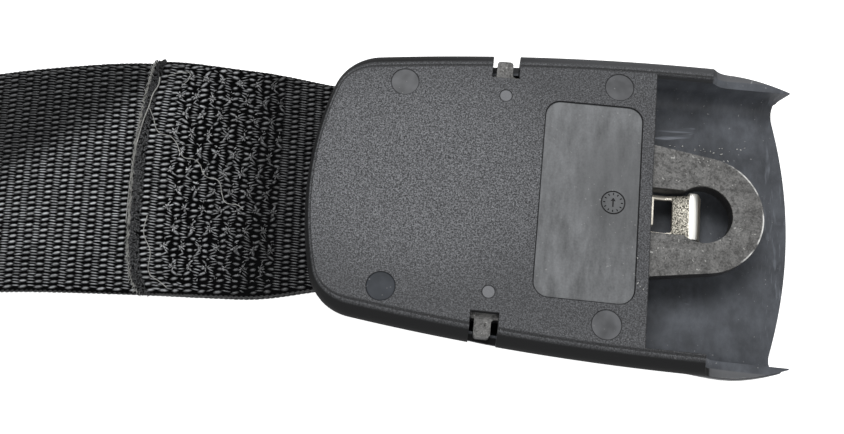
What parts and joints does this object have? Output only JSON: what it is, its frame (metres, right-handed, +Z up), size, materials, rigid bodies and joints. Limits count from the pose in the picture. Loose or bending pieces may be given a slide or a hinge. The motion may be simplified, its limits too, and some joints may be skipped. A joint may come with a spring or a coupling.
{
  "type": "seat belt lower end fitting",
  "caption": "Sewn belt webbing looped round a steel anchor plate with a keyhole eye and a sprung latch, inside a moulded cover sleeve with an open end.",
  "frame": {"origin": "centre of the footprint of the whole part's box, on the surface that the cover's front wall lies on", "axes": "+X along the belt towards the eye and the cover's open end, +Y across the belt, +Z up out of the cover's back wall, which faces the wall or pillar trim when fitted"},
  "size_m": [0.1742, 0.0638, 0.0158],
  "materials": {
    "moulded_black_tpu": "fine spark-eroded grain, satin inside",
    "dark_steel": "dark phosphated steel, worn along its edges",
    "nickel_spring": "warm nickel-plated spring strip",
    "rivet_steel": "plain steel",
    "black_polyester": "woven polyester webbing",
    "black_thread": "bonded sewing thread"
  },
  "bodies": {
    "root": {"cover_sleeve": "moulded_black_tpu", "anchor_plate": "dark_steel", "spring_rivet_upper": "rivet_steel", "spring_rivet_lower": "rivet_steel", "belt_webbing": "black_polyester", "needle_thread_01": "black_thread", "needle_thread_02": "black_thread", "needle_thread_03": "black_thread", "needle_thread_04": "black_thread", "needle_thread_05": "black_thread", "needle_thread_06": "black_thread", "needle_thread_07": "black_thread", "needle_thread_08": "black_thread", "needle_thread_09": "black_thread", "needle_thread_10": "black_thread", "needle_thread_11": "black_thread", "bobbin_thread_01": "black_thread", "bobbin_thread_02": "black_thread", "bobbin_thread_03": "black_thread", "bobbin_thread_04": "black_thread", "bobbin_thread_05": "black_thread", "bobbin_thread_06": "black_thread", "bobbin_thread_07": "black_thread", "bobbin_thread_08": "black_thread", "bobbin_thread_09": "black_thread", "bobbin_thread_10": "black_thread", "bobbin_thread_11": "black_thread"},
    "latch": {"latch_spring": "nickel_spring"}
  },
  "joints": [
    {"name": "latch_flex", "type": "hinge", "parent": "root", "child": "latch", "pos_m": [0.04974, 0, 0.00755], "axis": [0, 1, 0], "range_deg": [0, 8], "stiffness_Nm_per_rad": 1, "deforming": ["latch_spring"]}
  ]
}
